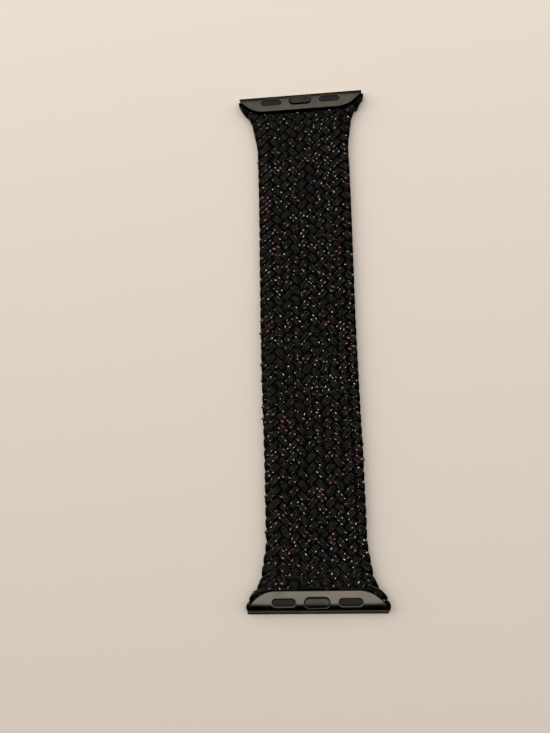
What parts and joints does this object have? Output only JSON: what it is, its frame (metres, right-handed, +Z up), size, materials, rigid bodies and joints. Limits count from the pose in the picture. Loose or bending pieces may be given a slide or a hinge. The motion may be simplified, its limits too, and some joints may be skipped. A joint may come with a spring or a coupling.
{
  "type": "braided elastic watch strap",
  "caption": "Flat stretch watch strap of herringbone braid, with a boat-shaped metal lug at each end that slides into the case and clicks home with a sprung button.",
  "frame": {"origin": "under the middle of the strap, on the surface that it lies on", "axes": "+Z up, out of the side that touches the wrist; X across the strap; +Y along the strap towards the upper lug"},
  "size_m": [0.025, 0.1, 0.0028],
  "materials": {
    "lug_metal": "polished, near-black vapour coating",
    "button_metal": "satin, near-black vapour coating",
    "keeper_steel": "stamped stainless sheet",
    "spring_steel": "bright drawn spring wire",
    "pin_steel": "bright ground pin",
    "pad_rubber": "matt moulded elastomer",
    "anchor_nylon": "moulded black nylon",
    "braid_yarn": "black multifilament yarn with bright flecks, herringbone braid",
    "elastic_silicone": "clear glossy silicone"
  },
  "bodies": {
    "strap": {"braid_sleeve": "braid_yarn", "elastic_threads": "elastic_silicone", "upper_lug_body": "lug_metal", "upper_latch_keeper": "keeper_steel", "upper_latch_spring_left": "spring_steel", "upper_latch_spring_right": "spring_steel", "upper_left_pad": "pad_rubber", "upper_right_pad": "pad_rubber", "upper_strap_anchor": "anchor_nylon", "upper_anchor_pins": "pin_steel"},
    "lower_end": {"lower_lug_body": "lug_metal", "lower_latch_keeper": "keeper_steel", "lower_latch_spring_left": "spring_steel", "lower_latch_spring_right": "spring_steel", "lower_left_pad": "pad_rubber", "lower_right_pad": "pad_rubber", "lower_strap_anchor": "anchor_nylon", "lower_anchor_pins": "pin_steel"},
    "upper_button": {"upper_latch_button": "button_metal"},
    "lower_button": {"lower_latch_button": "button_metal"}
  },
  "joints": [
    {"name": "strap_stretch", "type": "slide", "parent": "strap", "child": "lower_end", "axis": [0, -1, 0], "range_m": [0, 0.02], "stiffness_N_per_m": 500, "deforming": ["braid_sleeve", "elastic_threads"]},
    {"name": "upper_latch_press", "type": "slide", "parent": "strap", "child": "upper_button", "axis": [0, 0, -1], "range_m": [0, 0.00045], "stiffness_N_per_m": 1000, "deforming": ["upper_latch_spring_left", "upper_latch_spring_right"]},
    {"name": "lower_latch_press", "type": "slide", "parent": "lower_end", "child": "lower_button", "axis": [0, 0, -1], "range_m": [0, 0.00045], "stiffness_N_per_m": 1000, "deforming": ["lower_latch_spring_left", "lower_latch_spring_right"]}
  ]
}
